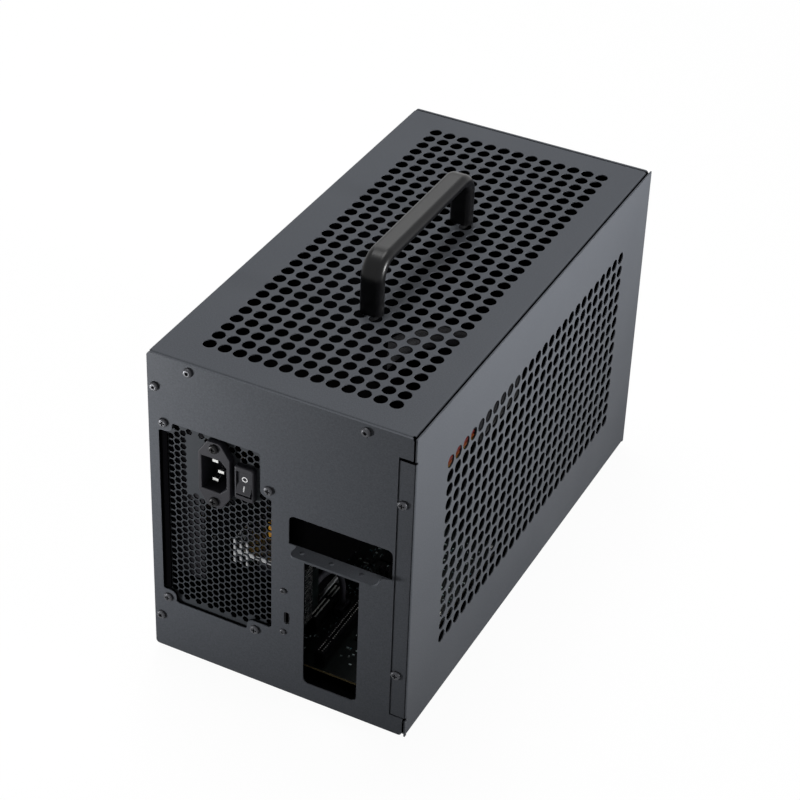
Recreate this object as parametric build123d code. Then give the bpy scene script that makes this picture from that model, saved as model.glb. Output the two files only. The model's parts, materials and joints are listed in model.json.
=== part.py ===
from build123d import *
import os
from math import cos, radians, sqrt, tan

# External graphics card enclosure, upright, in millimetres.
# The connector panel faces -Y, the removable side panel faces +X and the feet stand on z = 0.

# Case sheets
case_width = 182.0
case_depth = 358.0
case_height = 230.0
ground_gap = 4.0
plate = 1.6
base_sheet = 1.5
skin = 1.0
fold_radius = 1.6
seam = 0.5
top_seam = 1.2
side_gap = 1.2
lip = 12.0
corner_relief = 2.0
panel_corner = 2.5

# Round vents
vent_diameter = 8.8
vent_pitch = 10.56
side_vents = (26, 14)
side_vent_shift = (1.0, 0.5)
top_vents = (30, 13)
top_vent_shift = 1.0
fan_vents = (12, 12)

# Carrying handle, a bent flat-oval bar
handle_width = 16.0
handle_thickness = 9.0
handle_height = 41.0
handle_bend = 13.0
handle_span_pitches = 12
handle_offset_pitches = -1
handle_screw = 5.0
handle_screw_bite = 12.0

# Feet
foot_diameter = 16.0
foot_inset = 24.0

# Removable right panel
flange_width = 11.0
flange_top_gap = 18.2
flange_bottom_gap = 15.0
flange_clearance = 0.3
flange_top_clearance = 2.6
flange_screw_inset = 7.9
bottom_lip = 8.0
tab_width = 18.0
tab_height = 24.0
hook_height = 30.0

# Card openings and the ledge that holds the card brackets
slot_pitch = 20.32
ledge_z = 126.0
ledge_reach = 10.0
ledge_left = 13.0
ledge_right = 71.6
ledge_corner = 4.0
ledge_hole = 3.2
ledge_hole_first = 19.2
ledge_hole_reach = 4.2
upper_left = 7.6
upper_right = 78.4
upper_height = 21.8
lower_left = 18.4
lower_right = 56.4
lower_top_web = 4.0
lower_bottom = 18.0
opening_corner = 4.0

# Screws
case_screw = 3.9
case_head = 6.3
case_head_height = 2.0
case_screw_length = 8.0
case_screw_x = (-61.9, 58.3)
case_screw_drop = 5.6
case_screw_side = 5.0
case_screw_z = (30.3, 210.3)
cross_screw = 3.4
cross_head = 6.4
cross_head_height = 1.9
cross_screw_length = 6.0
side_screw_z = (52.4, 184.4)
hole_clearance = 0.2

# Power supply, standing on its narrow side
supply_left = -86.4
supply_bottom = 41.2
supply_width = 86.0
supply_height = 150.0
supply_length = 140.0
supply_sheet = 1.0
supply_boss = 1.0
supply_hole_inset = 6.0
supply_hole_span = 138.0
supply_hole_low = 64.0
supply_hole_high = 74.0
supply_hole_drop = 24.0
supply_screw_tab = 6.0
window_corner = 4.6
hex_pitch = 5.0
hex_flats = 4.1
shell_clearance = 0.2

# Mains inlet and rocker switch
inlet_right = 37.0
inlet_drop = 25.0
inlet_width = 22.6
inlet_height = 29.0
inlet_screw_span = 40.0
inlet_ear = 4.6
inlet_proud = 5.0
inlet_behind = 15.0
socket_width = 17.4
socket_height = 24.6
socket_depth = 16.0
socket_chamfer = 4.5
socket_wall = 1.6
pin_span = 14.0
pin_offset = 4.0
pin_size = (2.0, 4.0)
pin_length = 15.0
switch_right = 57.4
switch_drop = 25.4
switch_width = 13.8
switch_height = 25.0
switch_proud = 4.0
switch_behind = 14.0
rocker_width = 10.0
rocker_height = 17.4
rocker_tilt = 10.0
rocker_gap = 0.4
rocker_pivot = 1.5
rocker_pin = 2.4
rocker_pin_gap = 0.05

# Supply fan
fan_size = 120.0
fan_depth = 25.0
fan_bore = 116.0
fan_tip_gap = 1.6
fan_hub = 40.0
fan_blades = 7
fan_blade_thickness = 1.6
fan_blade_pitch = 40.0
fan_shaft = 4.0
fan_shaft_gap = 0.05
fan_strut = 4.0
fan_motor_depth = 8.0
fan_hole_span = 105.0
grille_wire = 1.6
grille_rings = 5

# Dock board and its slots
board_left = -38.0
board_width = 106.0
board_back = 18.5
board_length = 170.0
board_thickness = 1.6
standoff_height = 6.0
standoff_diameter = 6.0
board_hole_inset = 5.0
card_slot_x = 18.0
card_slot_setback = 3.0
card_slot_length = 89.0
card_slot_width = 7.4
slot_height = 11.0
slot_groove = 1.8
slot_groove_depth = 8.0
slot_key = 1.9
card_slot_key = 14.5
short_slot_length = 39.0
short_slot_setback = 29.5
short_slot_key = 23.5

# Data port
port_x = 6.5
port_z = 65.8
port_width = 3.3
port_height = 9.0
port_depth = 9.0
port_wall = 0.35
port_gap = 0.4
port_screw_x = 3.9
port_screw_rise = 21.3
port_screw_fall = 11.8
port_screw = 2.4
port_head = 4.2
port_board_length = 34.0
port_board_thickness = 1.2
port_lead_inset = 2.2

# Wires
wire = 2.4
wire_pitch = 4.2
main_bend = 26.0
port_bend = 34.0
sleeve = 14.0
sleeve_bend = 43.0
lead_length = 87.0
plug_size = (9.6, 22.0, 18.0)
clip_wall = 1.8

# Places worked out from the sizes above
half_width = case_width / 2
rear_y = (ledge_reach - case_depth - case_head_height) / 2
front_y = rear_y + case_depth
rear_in = rear_y + plate
front_in = front_y - plate
middle_y = (rear_y + front_y) / 2
top_z = ground_gap + case_height
base_z = ground_gap + skin + seam
floor_z = base_z + base_sheet
middle_z = ground_gap + case_height / 2
panel_right = half_width - skin - side_gap
right_in = half_width - skin
supply_right = supply_left + supply_width
supply_top = supply_bottom + supply_height
supply_rear = rear_in + supply_boss
supply_front = supply_rear + supply_length
hole_left = supply_left + supply_hole_inset
hole_top = supply_top - supply_hole_inset
hole_bottom = hole_top - supply_hole_span
supply_holes = (
    (hole_left, hole_top),
    (hole_left, hole_bottom),
    (hole_left + supply_hole_low, hole_bottom),
    (hole_left + supply_hole_high, hole_top - supply_hole_drop),
)
inlet_x = hole_left + inlet_right
inlet_z = hole_top - inlet_drop
switch_x = hole_left + switch_right
switch_z = hole_top - switch_drop
board_y = rear_y + board_back
board_z = floor_z + standoff_height
board_top = board_z + board_thickness
handle_x = vent_pitch / 2 + top_vent_shift
handle_y = middle_y + handle_offset_pitches * vent_pitch
handle_span = handle_span_pitches * vent_pitch


def block(x, y, z):
    """Box between two values along each axis."""
    size = [high - low for low, high in (x, y, z)]
    middle = [(low + high) / 2 for low, high in (x, y, z)]
    return Pos(*middle) * Box(*size)


def rod(axis, radius, start, end, first, second):
    """Round bar along one axis; first and second place it on the other two, in X, Y, Z order."""
    middle = (start + end) / 2
    bar = Cylinder(radius, abs(end - start))
    if axis == "x":
        return Pos(middle, first, second) * Rot(0, 90, 0) * bar
    if axis == "y":
        return Pos(first, middle, second) * Rot(90, 0, 0) * bar
    return Pos(first, second, middle) * bar


def save(node, *shapes):
    """Write the solids of one node to its own file."""
    solids = [solid for shape in shapes for solid in shape.solids()]
    export_step(Compound(solids), os.path.join("parts", node + ".step"))


def folded_edge(edge, thickness, depth, start, end):
    """Quarter bend at a sheet's edge with the flat lip below it."""
    bend, inner = edge - fold_radius, fold_radius - thickness
    slant = sqrt(0.5)
    outline = [
        ThreePointArc(
            (bend, 0),
            (bend + fold_radius * slant, fold_radius * (1 - slant)),
            (edge, fold_radius),
        ),
        Line((edge, fold_radius), (edge, depth)),
        Line((edge, depth), (edge - thickness, depth)),
        Line((edge - thickness, depth), (edge - thickness, fold_radius)),
        ThreePointArc(
            (edge - thickness, fold_radius),
            (bend + inner * slant, fold_radius - inner * slant),
            (bend, thickness),
        ),
        Line((bend, thickness), (bend, 0)),
    ]
    side = Plane(origin=(0, start, 0), x_dir=(1, 0, 0), z_dir=(0, 1, 0))
    return extrude(side * make_face(outline), end - start)


def folded_sheet(size_x, size_y, thickness, lips):
    """Flat field centred on the origin with its outside at z = 0, then its edges folded down.

    Each lip is (turn, depth, start, end, relief): the side at that turn about Z from +X,
    the lip's depth, its two ends along that side and the size of the cut at each end.
    """
    field = Pos(0, 0, -thickness / 2) * Box(size_x, size_y, thickness)
    folds = []
    for turn, depth, start, end, relief in lips:
        edge = (size_x if turn % 180 == 0 else size_y) / 2
        turned = Rot(0, 0, turn)
        cut = block((edge - fold_radius, edge), (start - relief, end + relief), (-thickness, 0))
        field -= turned * cut
        folds.append(turned * folded_edge(edge, thickness, depth, start, end))
    return [field, *folds]


def punch(sheet, place, columns, rows):
    """Square field of round vents through a sheet, centred on a place and punched in one stroke."""
    hole = Cylinder(vent_diameter / 2, 4 * skin)
    return sheet - [place * spot * hole for spot in GridLocations(vent_pitch, vent_pitch, columns, rows)]


def screw(spot, head, head_height, shank, length, recess):
    """Screw with its seat on a place's plane, head out along that plane's normal."""
    body = extrude(Circle(head / 2), head_height)
    body = fillet(body.edges().sort_by(Axis.Z)[-1], head_height * 0.7)
    body -= Pos(0, 0, head_height * 0.4) * extrude(recess, head_height)
    body += extrude(Circle(shank / 2), -length)
    return spot * body


def hex_recess(head):
    """Six-sided socket for a head of this diameter."""
    return RegularPolygon(head * 0.21, 6)


def cross_recess(head):
    """Cross-shaped driver slot for a head of this diameter."""
    return Rectangle(head * 0.56, head * 0.14) + Rectangle(head * 0.14, head * 0.56)


def facing_rear(x, z, y):
    """Place on the rear side with its normal pointing out of the case, along -Y."""
    return Plane(origin=(x, y, z), x_dir=(1, 0, 0), z_dir=(0, -1, 0)).location


def facing_front(x, z, y):
    """Place on the front side with its normal pointing out of the case, along +Y."""
    return Plane(origin=(x, y, z), x_dir=(-1, 0, 0), z_dir=(0, 1, 0)).location


def case_screw_places():
    """Where the four hex-socket screws sit on the rear and on the front panel, as x and z."""
    top = [(x, top_z - case_screw_drop) for x in case_screw_x]
    left = [(case_screw_side - half_width, z) for z in case_screw_z]
    return top, left


def drill_lips(sheet, places, depth):
    """Tapped holes in the rear and front lips of a panel."""
    for x, z in places:
        sheet -= rod("y", case_screw / 2, rear_y, rear_in + depth, x, z)
        sheet -= rod("y", case_screw / 2, front_in - depth, front_y, x, z)
    return sheet


def top_panel():
    """Vented lid: left lip outside, rear, front and right lips tucked inside."""
    left, right = -half_width, right_in - top_seam
    width, length = right - left, front_in - rear_in
    along_x, along_y = width / 2 - corner_relief, length / 2 - corner_relief
    lips = [
        (0, lip, -along_y, along_y, corner_relief),
        (90, lip, -along_x, along_x, corner_relief),
        (180, lip, -along_y, along_y, corner_relief),
        (270, lip, -along_x, along_x, corner_relief),
    ]
    place = Pos((left + right) / 2, middle_y, top_z)
    field, *folds = [place * piece for piece in folded_sheet(width, length, skin, lips)]
    for y in (handle_y - handle_span / 2, handle_y + handle_span / 2):
        field -= rod("z", handle_screw / 2 + hole_clearance, top_z - lip, top_z + 1, handle_x, y)
    field = punch(field, Pos(top_vent_shift, middle_y, top_z), top_vents[1], top_vents[0])
    return [field] + [drill_lips(fold, case_screw_places()[0], 2 * skin) for fold in folds]


def left_panel():
    """Wall below the lid's left lip, vented at the supply's fan, with rear and front lips turned inwards."""
    low, high = base_z, top_z - lip - seam
    length, height = front_in - rear_in, high - low
    along = height / 2 - corner_relief
    lips = [
        (0, lip, -along, along, corner_relief),
        (180, lip, -along, along, corner_relief),
    ]
    middle = Plane(origin=(-half_width, middle_y, (low + high) / 2), x_dir=(0, 1, 0), z_dir=(-1, 0, 0))
    field, *folds = [middle.location * piece for piece in folded_sheet(length, height, skin, lips)]
    wall = Plane(origin=(-half_width, fan_y, fan_z), x_dir=(0, 1, 0), z_dir=(-1, 0, 0))
    pieces = [punch(field, wall.location, *fan_vents)]
    gap = supply_screw_tab + 1
    for fold in folds:
        for z in (hole_bottom, hole_top):
            fold -= block((lip * 0.4 - half_width, 0), (rear_in, rear_in + skin), (z - gap, z + gap))
        pieces.append(drill_lips(fold, case_screw_places()[1], 2 * skin))
    return pieces


def right_panel():
    """Removable vented wall: rear flange with its two screws, bottom lip and two front hooks."""
    low_y = rear_in - skin
    length, height = front_y - low_y, top_z - ground_gap
    along = length / 2 - corner_relief
    start = flange_bottom_gap - height / 2
    end = height / 2 - flange_top_gap
    lips = [
        (180, flange_width, -end, -start, corner_relief),
        (270, bottom_lip, -along, along, 0),
    ]
    middle = Plane(origin=(half_width, (low_y + front_y) / 2, middle_z), x_dir=(0, 1, 0), z_dir=(1, 0, 0))
    pieces = [middle.location * piece for piece in folded_sheet(length, height, skin, lips)]
    for z in side_screw_z:
        pieces[1] -= rod("y", cross_screw / 2 + hole_clearance, rear_y, rear_in + skin, flange_screw_x(), z)
    hook_y = front_in - seam
    for z in case_screw_z:
        z += (middle_z - z) * 0.3
        pieces.append(block(
            (half_width - flange_width, right_in),
            (hook_y - skin, hook_y),
            (z - hook_height / 2, z + hook_height / 2),
        ))
    vent_y, vent_z = middle_y + side_vent_shift[0], middle_z + side_vent_shift[1]
    wall = Plane(origin=(half_width, vent_y, vent_z), x_dir=(0, 1, 0), z_dir=(1, 0, 0))
    pieces[0] = punch(pieces[0], wall.location, *side_vents)
    return pieces


def flange_screw_x():
    """The side panel's screws sit near the free edge of its rear flange."""
    return half_width - flange_screw_inset


def screw_tabs():
    """Two tapped tabs welded inside the rear panel, behind the side panel's flange."""
    left = half_width - flange_width - flange_clearance - tab_width / 2
    tabs = []
    for z in side_screw_z:
        tab = block(
            (left, left + tab_width),
            (rear_in, rear_in + plate),
            (z - tab_height / 2, z + tab_height / 2),
        )
        tabs.append(tab - rod("y", cross_screw / 2, rear_in, rear_in + plate, flange_screw_x(), z))
    return tabs


def rounded_window(left, right, low, high, end):
    """Cutter for a card opening, rounded at its low end (0) or its high end (-1)."""
    window = make_face(Polyline((left, low), (right, low), (right, high), (left, high), close=True))
    window = fillet(window.vertices().group_by(Axis.Y)[end], opening_corner)
    return facing_rear(0, 0, rear_y) * extrude(window, -plate)


def corners_at(face, spots):
    """Corners of a flat outline that lie on the given spots."""
    near = [(round(x, 2), round(y, 2)) for x, y in spots]
    return [corner for corner in face.vertices() if (round(corner.X, 2), round(corner.Y, 2)) in near]


def supply_cutout():
    """Cutter for the power supply's window, rounded wide around the tabs of its four screws."""
    left = hole_left - 3.6
    right = supply_holes[3][0] + 1.8
    top = hole_top + 1.4
    low = hole_bottom - 2.4
    tab = supply_screw_tab
    high_x, high_z = supply_holes[3]
    low_x = supply_holes[2][0]
    tabs = [
        (hole_left + tab, hole_top - tab),
        (high_x - tab, high_z - tab),
        (low_x - tab, hole_bottom + tab),
        (hole_left + tab, hole_bottom + tab),
    ]
    outline = [
        (left, hole_bottom + tab),
        (left, hole_top - tab),
        tabs[0],
        (hole_left + tab, top),
        (high_x - tab, top),
        tabs[1],
        (right, high_z - tab),
        (right, hole_bottom + tab),
        tabs[2],
        (low_x - tab, low),
        (hole_left + tab, low),
        tabs[3],
    ]
    face = make_face(Polyline(*outline, close=True))
    face = fillet(corners_at(face, tabs), window_corner)
    face = fillet(corners_at(face, outline), panel_corner * 0.7)
    return facing_rear(0, 0, rear_y) * extrude(face, -plate)


def card_ledge():
    """Shelf folded outwards from the upper card opening, with tapped holes for card brackets."""
    shelf = block(
        (ledge_left, ledge_right),
        (rear_y - ledge_reach, rear_y),
        (ledge_z - plate, ledge_z),
    )
    ends = shelf.edges().filter_by(Axis.Z).group_by(Axis.Y)[0]
    shelf = fillet(ends, ledge_corner)
    for index in range(3):
        x = ledge_hole_first + index * slot_pitch
        shelf -= rod("z", ledge_hole / 2, ledge_z - plate, ledge_z, x, rear_y - ledge_hole_reach)
    return shelf


def rear_panel():
    """Connector panel: supply window, card openings with the folded ledge, port window."""
    panel = block((-half_width, panel_right), (rear_y, rear_in), (ground_gap + seam, top_z))
    panel = fillet(panel.edges().filter_by(Axis.Y), panel_corner)
    panel -= supply_cutout()
    panel -= rounded_window(upper_left, upper_right, ledge_z, ledge_z + upper_height, -1)
    low_top = ledge_z - plate - lower_top_web
    panel -= rounded_window(lower_left, lower_right, lower_bottom, low_top, 0)
    notch_left = half_width - flange_width - flange_clearance
    notch_low = ground_gap + flange_bottom_gap - flange_clearance
    notch_high = top_z - flange_top_gap + flange_top_clearance
    panel -= block((notch_left, half_width), (rear_y, rear_in), (notch_low, notch_high))
    for x, z in [place for group in case_screw_places() for place in group]:
        panel -= rod("y", case_screw / 2 + hole_clearance, rear_y, rear_in, x, z)
    for x, z in supply_holes:
        panel -= rod("y", cross_screw / 2 + hole_clearance, rear_y, rear_in, x, z)
    window = SlotOverall(port_height + 2 * port_gap, port_width + 2 * port_gap, rotation=90)
    panel -= facing_rear(port_x, port_z, rear_y) * extrude(window, -plate)
    for z in port_screw_heights():
        panel -= rod("y", port_screw / 2 + hole_clearance, rear_y, rear_in, port_screw_x, z)
    return [panel, card_ledge()]


def front_panel():
    """Plain panel at the far end."""
    panel = block((-half_width, panel_right), (front_in, front_y), (ground_gap + seam, top_z))
    panel = fillet(panel.edges().filter_by(Axis.Y), panel_corner)
    for x, z in [place for group in case_screw_places() for place in group]:
        panel -= rod("y", case_screw / 2 + hole_clearance, front_in, front_y, x, z)
    return panel


def base_panel():
    """Floor of the case with rear, front and left lips turned up and welded to the walls."""
    left, right = -half_width + skin, right_in - seam
    width, length = right - left, front_in - rear_in
    along_x, along_y = width / 2 - lip, length / 2 - lip
    lips = [
        (90, lip, -along_x, along_x, corner_relief),
        (180, lip, -along_y, along_y, corner_relief),
        (270, lip, -along_x, along_x, corner_relief),
    ]
    middle = Plane(origin=((left + right) / 2, middle_y, base_z), x_dir=(1, 0, 0), z_dir=(0, 0, -1))
    return [middle.location * piece for piece in folded_sheet(width, length, base_sheet, lips)]


def foot_places():
    """Centres of the four feet."""
    xs = (foot_inset - half_width, half_width - foot_inset)
    ys = (rear_y + foot_inset, front_y - foot_inset)
    return [(x, y) for x in xs for y in ys]


def foot(x, y):
    """Round rubber bumper stuck under the base."""
    pad = rod("z", foot_diameter / 2, 0, base_z, x, y)
    return fillet(pad.edges().group_by(Axis.Z)[0], 1.2)


def handle():
    """Flat-oval bar bent to a U, standing on the lid."""
    half = handle_span / 2
    crown = handle_height - handle_thickness / 2
    path = FilletPolyline(
        (handle_x, handle_y - half, top_z),
        (handle_x, handle_y - half, top_z + crown),
        (handle_x, handle_y + half, top_z + crown),
        (handle_x, handle_y + half, top_z),
        radius=handle_bend,
    )
    section = Pos(handle_x, handle_y - half, top_z) * SlotOverall(handle_width, handle_thickness)
    bar = sweep(section, path)
    for y in (handle_y - half, handle_y + half):
        bar -= rod("z", handle_screw / 2, top_z, top_z + handle_screw_bite, handle_x, y)
    return bar


def handle_screws():
    """Two screws driven up through the lid into the handle's feet."""
    screws = []
    for y in (handle_y - handle_span / 2, handle_y + handle_span / 2):
        seat = Plane(origin=(handle_x, y, top_z - skin), x_dir=(1, 0, 0), z_dir=(0, 0, -1))
        head = 2 * handle_screw
        length = handle_screw_bite + skin
        screws.append(screw(seat.location, head, handle_screw * 0.6, handle_screw, length, cross_recess(head)))
    return screws


def case_screws(facing, y):
    """Four hex-socket screws of the rear or front panel."""
    places = [place for group in case_screw_places() for place in group]
    recess = hex_recess(case_head)
    return [
        screw(facing(x, z, y), case_head, case_head_height, case_screw, case_screw_length, recess)
        for x, z in places
    ]


def cross_screws(places, y, length):
    """Cross-head screws driven in from the rear."""
    recess = cross_recess(cross_head)
    return [
        screw(facing_rear(x, z, y), cross_head, cross_head_height, cross_screw, length, recess)
        for x, z in places
    ]


def clear_of_fittings(x, z):
    """True where the supply's face is free for a vent: away from screws, inlet, switch and its plain field."""
    margin = hex_pitch
    for hole_x, hole_z in supply_holes:
        if sqrt((x - hole_x) ** 2 + (z - hole_z) ** 2) < supply_screw_tab * 0.8 + hex_pitch / 2:
            return False
    across, along = abs(x - inlet_x), abs(z - inlet_z)
    if across < inlet_width / 2 + margin * 0.4 and along < inlet_height / 2 + margin * 0.4:
        return False
    if across + along * 0.55 < inlet_width / 2 + margin and along < inlet_screw_span / 2 + margin * 1.3:
        return False
    across, along = abs(x - switch_x), abs(z - switch_z)
    if across < switch_width / 2 + margin * 0.2 and along < switch_height / 2 + margin * 0.4:
        return False
    field = inlet_x - inlet_width / 2 - 1.2 * margin
    return not (abs(x - field) < 1.2 * margin and abs(z - inlet_z + 1) < inlet_screw_span * 0.55)


def honeycomb_places():
    """Centres of the six-sided vents inside the supply's window, column by column."""
    left, right = hole_left + 3.6, supply_holes[3][0] + 0.6
    low, high = hole_bottom + 2.6, hole_top - 1.0
    column = hex_pitch * sqrt(3) / 2
    count = int((right - left) / column) + 1
    places = []
    for index in range(count):
        x = left + index * column
        z = low + (hex_pitch / 2 if index % 2 else 0)
        while z < high:
            if clear_of_fittings(x, z):
                places.append((x, z))
            z += hex_pitch
    return places


def supply_face_cuts():
    """Cutters for the honeycomb and for the windows of the inlet and the switch."""
    hexagon = RegularPolygon(hex_flats / sqrt(3), 6)
    outlines = [Pos(x, z) * hexagon for x, z in honeycomb_places()]
    inlet = Rectangle(socket_width + 2 * socket_wall, socket_height + 2 * socket_wall)
    outlines.append(Pos(inlet_x, inlet_z) * inlet)
    switch = Rectangle(rocker_width + 3.2, rocker_height + 3.2)
    outlines.append(Pos(switch_x, switch_z) * switch)
    place = facing_rear(0, 0, supply_rear)
    return [place * extrude(outline, -supply_sheet) for outline in outlines]


def supply_tray():
    """Half of the supply's case: vented rear face, board wall and the end that the wires leave."""
    inner = (supply_rear + supply_sheet, supply_front - supply_sheet)
    tall = (supply_bottom, supply_top)
    face = block((supply_left, supply_right), (supply_rear, inner[0]), tall)
    for x, z in supply_holes:
        face += rod("y", supply_screw_tab * 0.8, rear_in, supply_rear, x, z)
        face -= rod("y", cross_screw / 2, rear_in, inner[0], x, z)
    for x, z in inlet_screw_places():
        face -= rod("y", cross_screw / 2, supply_rear, inner[0], x, z)
    face -= supply_face_cuts()
    wall = block((supply_right - supply_sheet, supply_right), inner, tall)
    end = block((supply_left, supply_right), (inner[1], supply_front), tall)
    return [face, wall, end - grommet_cuts()]


def supply_cover():
    """Other half of the supply's case: fan wall, top and bottom."""
    inner = supply_sheet + shell_clearance
    long = (supply_rear + inner, supply_front - inner)
    wall = block((supply_left, fan_left), long, (supply_bottom, supply_top))
    wall -= rod("x", fan_bore / 2, supply_left, fan_left, fan_y, fan_z)
    for y, z in fan_screw_places():
        wall -= rod("x", cross_screw / 2, supply_left, fan_left, y, z)
    lids = [
        block((fan_left, supply_right - inner), long, (low, low + supply_sheet))
        for low in (supply_bottom, supply_top - supply_sheet)
    ]
    return [wall, *lids]


def inlet_screw_places():
    """The two screws of the inlet, above and below it."""
    return [(inlet_x, inlet_z + side * inlet_screw_span / 2) for side in (-1, 1)]


def socket_outline(grow):
    """Outline of the inlet's hollow with two corners cut on the earth side."""
    wide, tall, cut = socket_width / 2 + grow, socket_height / 2 + grow, socket_chamfer
    return [
        (-wide, -tall),
        (wide - cut, -tall),
        (wide, cut - tall),
        (wide, tall - cut),
        (wide - cut, tall),
        (-wide, tall),
    ]


def inlet_body():
    """Moulded mains inlet: eared flange outside the supply, deep socket reaching inside."""
    wide, tall = inlet_width / 2, inlet_height / 2
    ear = inlet_screw_span / 2 + inlet_ear
    outline = [
        (-wide, -tall),
        (-inlet_ear, -ear),
        (inlet_ear, -ear),
        (wide, -tall),
        (wide, tall),
        (inlet_ear, ear),
        (-inlet_ear, ear),
        (-wide, tall),
    ]
    flange = make_face(Polyline(*outline, close=True))
    flange = fillet(flange.vertices(), 2.4)
    front = facing_rear(inlet_x, inlet_z, supply_rear)
    body = front * extrude(flange, inlet_proud)
    shell = make_face(Polyline(*socket_outline(socket_wall - shell_clearance), close=True))
    body += front * extrude(shell, -inlet_behind)
    hollow = make_face(Polyline(*socket_outline(0), close=True))
    mouth = facing_rear(inlet_x, inlet_z, supply_rear - inlet_proud)
    body -= mouth * extrude(hollow, -socket_depth)
    rim = [edge for edge in body.edges() if abs(edge.center().Y - supply_rear + inlet_proud) < 0.01]
    body = fillet(rim, 0.6)
    for x, z in inlet_screw_places():
        body -= rod("y", cross_screw / 2, supply_rear - inlet_proud, supply_rear, x, z)
    for across, along in pin_places():
        body -= pin(across, along)
    return body


def pin_places():
    """The three blades of the inlet: line, neutral and the earth towards the cut corners."""
    return [(-pin_offset / 2, -pin_span / 2), (-pin_offset / 2, pin_span / 2), (pin_offset / 2, 0)]


def pin(across, along):
    """Flat blade that passes the socket's back wall."""
    x, z = inlet_x + across, inlet_z + along
    back = supply_rear + inlet_behind + 4
    return block(
        (x - pin_size[1] / 2, x + pin_size[1] / 2),
        (back - pin_length - 4, back),
        (z - pin_size[0] / 2, z + pin_size[0] / 2),
    )


def switch_frame():
    """Bezel and box of the rocker switch, with bearing holes for its pins."""
    front = facing_rear(switch_x, switch_z, supply_rear)
    bezel = extrude(RectangleRounded(switch_width, switch_height, 2.0), switch_proud)
    bezel = fillet(bezel.edges().group_by(Axis.Z)[-1], 1.2)
    frame = front * bezel
    frame += front * extrude(Rectangle(rocker_width + 3.0, rocker_height + 3.0), -switch_behind)
    inside = Rectangle(rocker_width + 2 * rocker_gap, rocker_height + 2 * rocker_gap)
    mouth = facing_rear(switch_x, switch_z, supply_rear - switch_proud)
    frame -= mouth * extrude(inside, -(switch_proud + switch_behind - 1.5))
    reach = rocker_width / 2 + rocker_gap + 1.0
    radius = rocker_pin / 2 + rocker_pin_gap
    frame -= rod("x", radius, switch_x - reach, switch_x + reach, rocker_y, switch_z)
    return frame


def rocker():
    """Rocking button with a shallow V face, resting with its upper half pressed in."""
    half = rocker_height / 2 - rocker_gap * 1.5
    rise = half * tan(radians(rocker_tilt))
    face = -rocker_pivot - switch_proud * 0.25
    outline = [
        (face - rise, -half),
        (face, 0),
        (face - rise, half),
        (2.0, half * 0.86),
        (4.2, 0),
        (2.0, -half * 0.86),
    ]
    side = Plane(origin=(0, 0, 0), x_dir=(0, 1, 0), z_dir=(1, 0, 0))
    profile = make_face(Polyline(*outline, close=True))
    button = Pos(-rocker_width / 2, 0, 0) * extrude(side * profile, rocker_width)
    button = fillet(button.edges().filter_by(Axis.X).group_by(Axis.Y)[0], 0.8)
    reach = rocker_width / 2 + rocker_gap + 0.8
    button += rod("x", rocker_pin / 2, -reach, reach, 0, 0)
    return Pos(switch_x, rocker_y, switch_z) * Rot(-rocker_tilt, 0, 0) * button


rocker_y = supply_rear - switch_proud + rocker_pivot + 2.2
fan_y = (supply_rear + supply_front) / 2
fan_z = (supply_bottom + supply_top) / 2
fan_left = supply_left + supply_sheet
fan_right = fan_left + fan_depth


def fan_screw_places():
    """The four corners of the fan, as y and z."""
    half = fan_hole_span / 2
    return [(fan_y + a * half, fan_z + b * half) for a in (-1, 1) for b in (-1, 1)]


def fan_frame():
    """Square fan housing with a round bore, a motor seat on four struts and a fixed shaft."""
    half = fan_size / 2
    frame = block((fan_left, fan_right), (fan_y - half, fan_y + half), (fan_z - half, fan_z + half))
    frame = fillet(frame.edges().filter_by(Axis.X), 6)
    frame -= rod("x", fan_bore / 2, fan_left, fan_right, fan_y, fan_z)
    seat_left = fan_right - fan_motor_depth * 0.5
    frame += rod("x", fan_hub / 2, seat_left, fan_right, fan_y, fan_z)
    for turn in (45, 135):
        strut = block((seat_left, fan_right), (-half, half), (-fan_strut / 2, fan_strut / 2))
        frame += Pos(0, fan_y, fan_z) * Rot(turn, 0, 0) * strut
    frame += rod("x", fan_shaft / 2, fan_left + 4, seat_left, fan_y, fan_z)
    for y, z in fan_screw_places():
        frame -= rod("x", cross_screw / 2, fan_left, fan_right, y, z)
    return frame


def fan_rotor():
    """Hub cup with swept blades, turning on the fixed shaft."""
    left = fan_left + 2.5
    right = fan_right - fan_motor_depth * 0.5 - 0.6
    tip = fan_bore / 2 - fan_tip_gap
    hub = rod("x", fan_hub / 2, left, right, 0, 0)
    hub = fillet(hub.edges().group_by(Axis.X)[0], 1.5)
    reach = (right - left) / cos(radians(fan_blade_pitch)) * 1.2
    blade = block(
        (-fan_blade_thickness / 2, fan_blade_thickness / 2),
        (-reach / 2, reach / 2),
        (fan_hub / 2 - 3, tip + 4),
    )
    blade = Pos((left + right) / 2, 0, 0) * Rot(0, 0, fan_blade_pitch) * blade
    slab = rod("x", tip, left + 1, right - 1, 0, 0)
    blade = blade & slab
    rotor = hub
    for index in range(fan_blades):
        rotor += Rot(index * 360 / fan_blades, 0, 0) * blade
    rotor -= rod("x", fan_shaft / 2 + fan_shaft_gap, left + 1, right, 0, 0)
    return Pos(0, fan_y, fan_z) * rotor


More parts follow.
